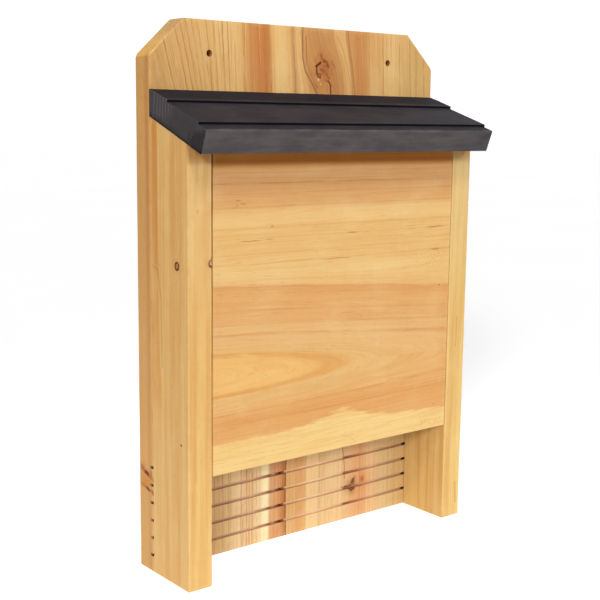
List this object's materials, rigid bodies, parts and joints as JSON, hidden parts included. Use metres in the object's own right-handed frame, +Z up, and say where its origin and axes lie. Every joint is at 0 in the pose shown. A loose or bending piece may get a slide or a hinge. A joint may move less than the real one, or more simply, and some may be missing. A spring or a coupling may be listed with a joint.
{
  "type": "bat house",
  "caption": "Wall-hung single-chamber bat house: back board with a grooved landing area, side rails, a front panel open at the bottom and a sloping stepped roof.",
  "frame": {"origin": "on the back face, midway between the centres of the two hanging holes", "axes": "+Y out of the back face, into the wall; +Z up; -Y out of the front; +X to the right seen from the front"},
  "size_m": [0.261, 0.0846, 0.381],
  "materials": {
    "back_board_wood": "bare planed softwood, vertical grain with reddish heartwood bands",
    "rail_wood": "bare planed softwood, straight vertical grain",
    "panel_wood": "bare planed softwood, horizontal grain",
    "stained_wood": "matt charcoal stain over wood grain",
    "zinc_screws": "zinc-plated steel",
    "brad_steel": "dull galvanised steel"
  },
  "bodies": {
    "root": {"back_board": "back_board_wood", "left_side": "rail_wood", "right_side": "rail_wood", "front_panel": "panel_wood", "roof": "stained_wood", "left_side_screws": "zinc_screws", "right_side_screws": "zinc_screws", "roof_screws": "zinc_screws", "left_panel_brad": "brad_steel", "right_panel_brad": "brad_steel"}
  },
  "joints": []
}
